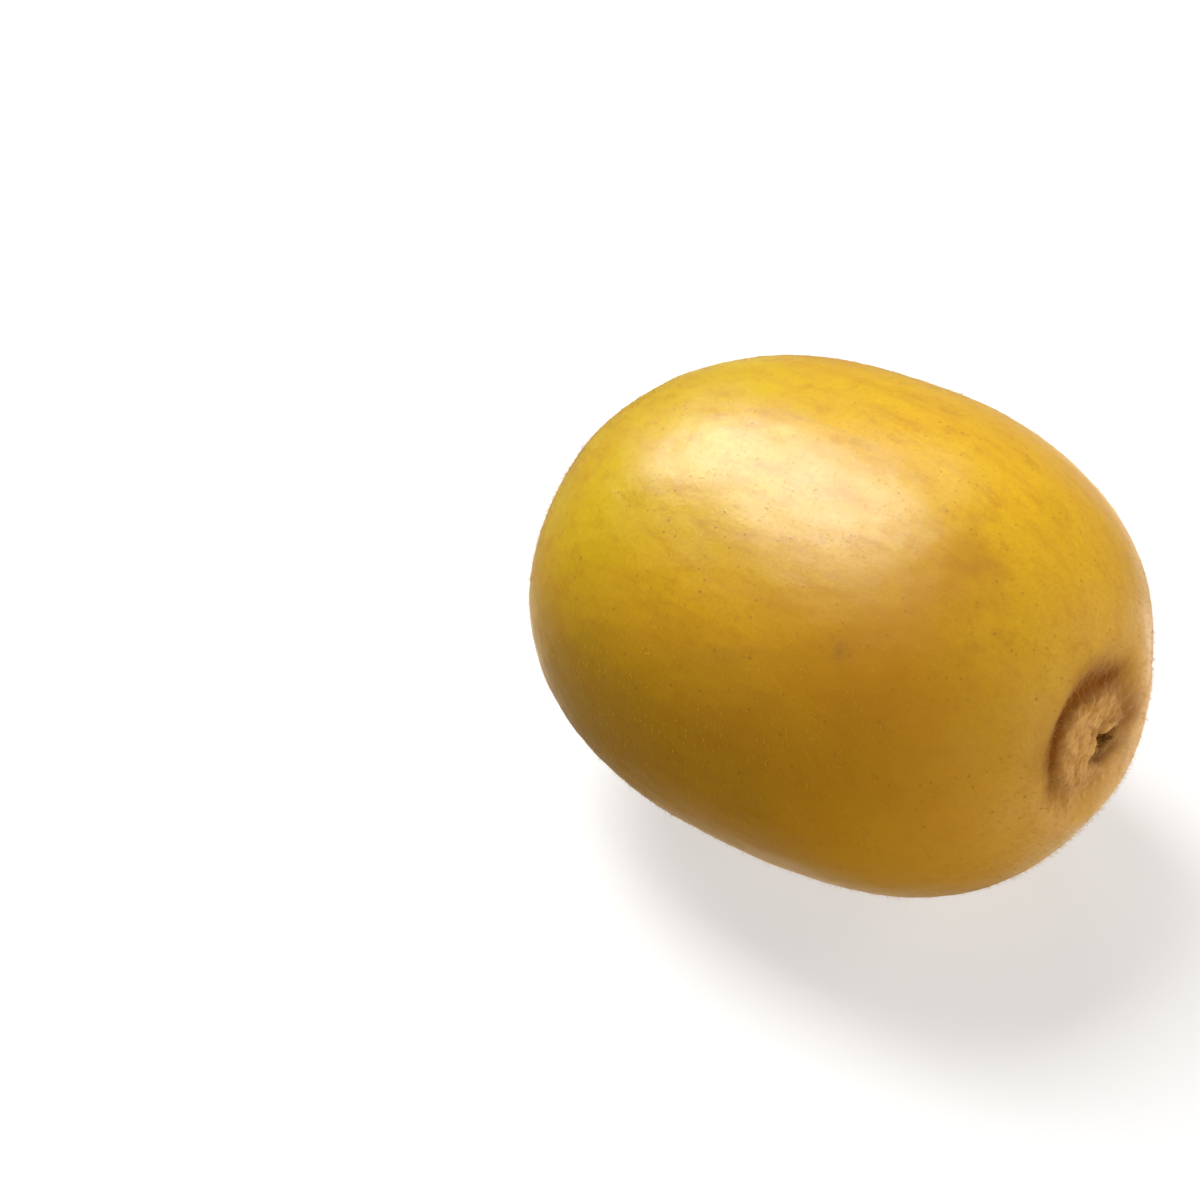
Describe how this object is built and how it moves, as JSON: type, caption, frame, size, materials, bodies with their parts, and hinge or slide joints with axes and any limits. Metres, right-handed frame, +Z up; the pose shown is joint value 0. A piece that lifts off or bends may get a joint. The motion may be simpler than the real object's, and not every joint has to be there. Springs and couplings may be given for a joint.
{
  "type": "golden kiwi fruit",
  "caption": "Whole golden kiwi fruit, an oval with smooth golden-brown skin, a ringed button at the blossom end and a dimpled stem scar, lying on its side.",
  "frame": {"origin": "on the surface the fruit rests on, below the middle of its bounding box", "axes": "+X along the fruit from its stem end to its blossom end, +Z up"},
  "size_m": [0.0652, 0.0528, 0.0512],
  "materials": {
    "skin": "thin golden-brown fruit skin, satin, with faint brown mottling and very short fuzz"
  },
  "bodies": {
    "root": {"kiwi_fruit": "skin"}
  },
  "joints": []
}
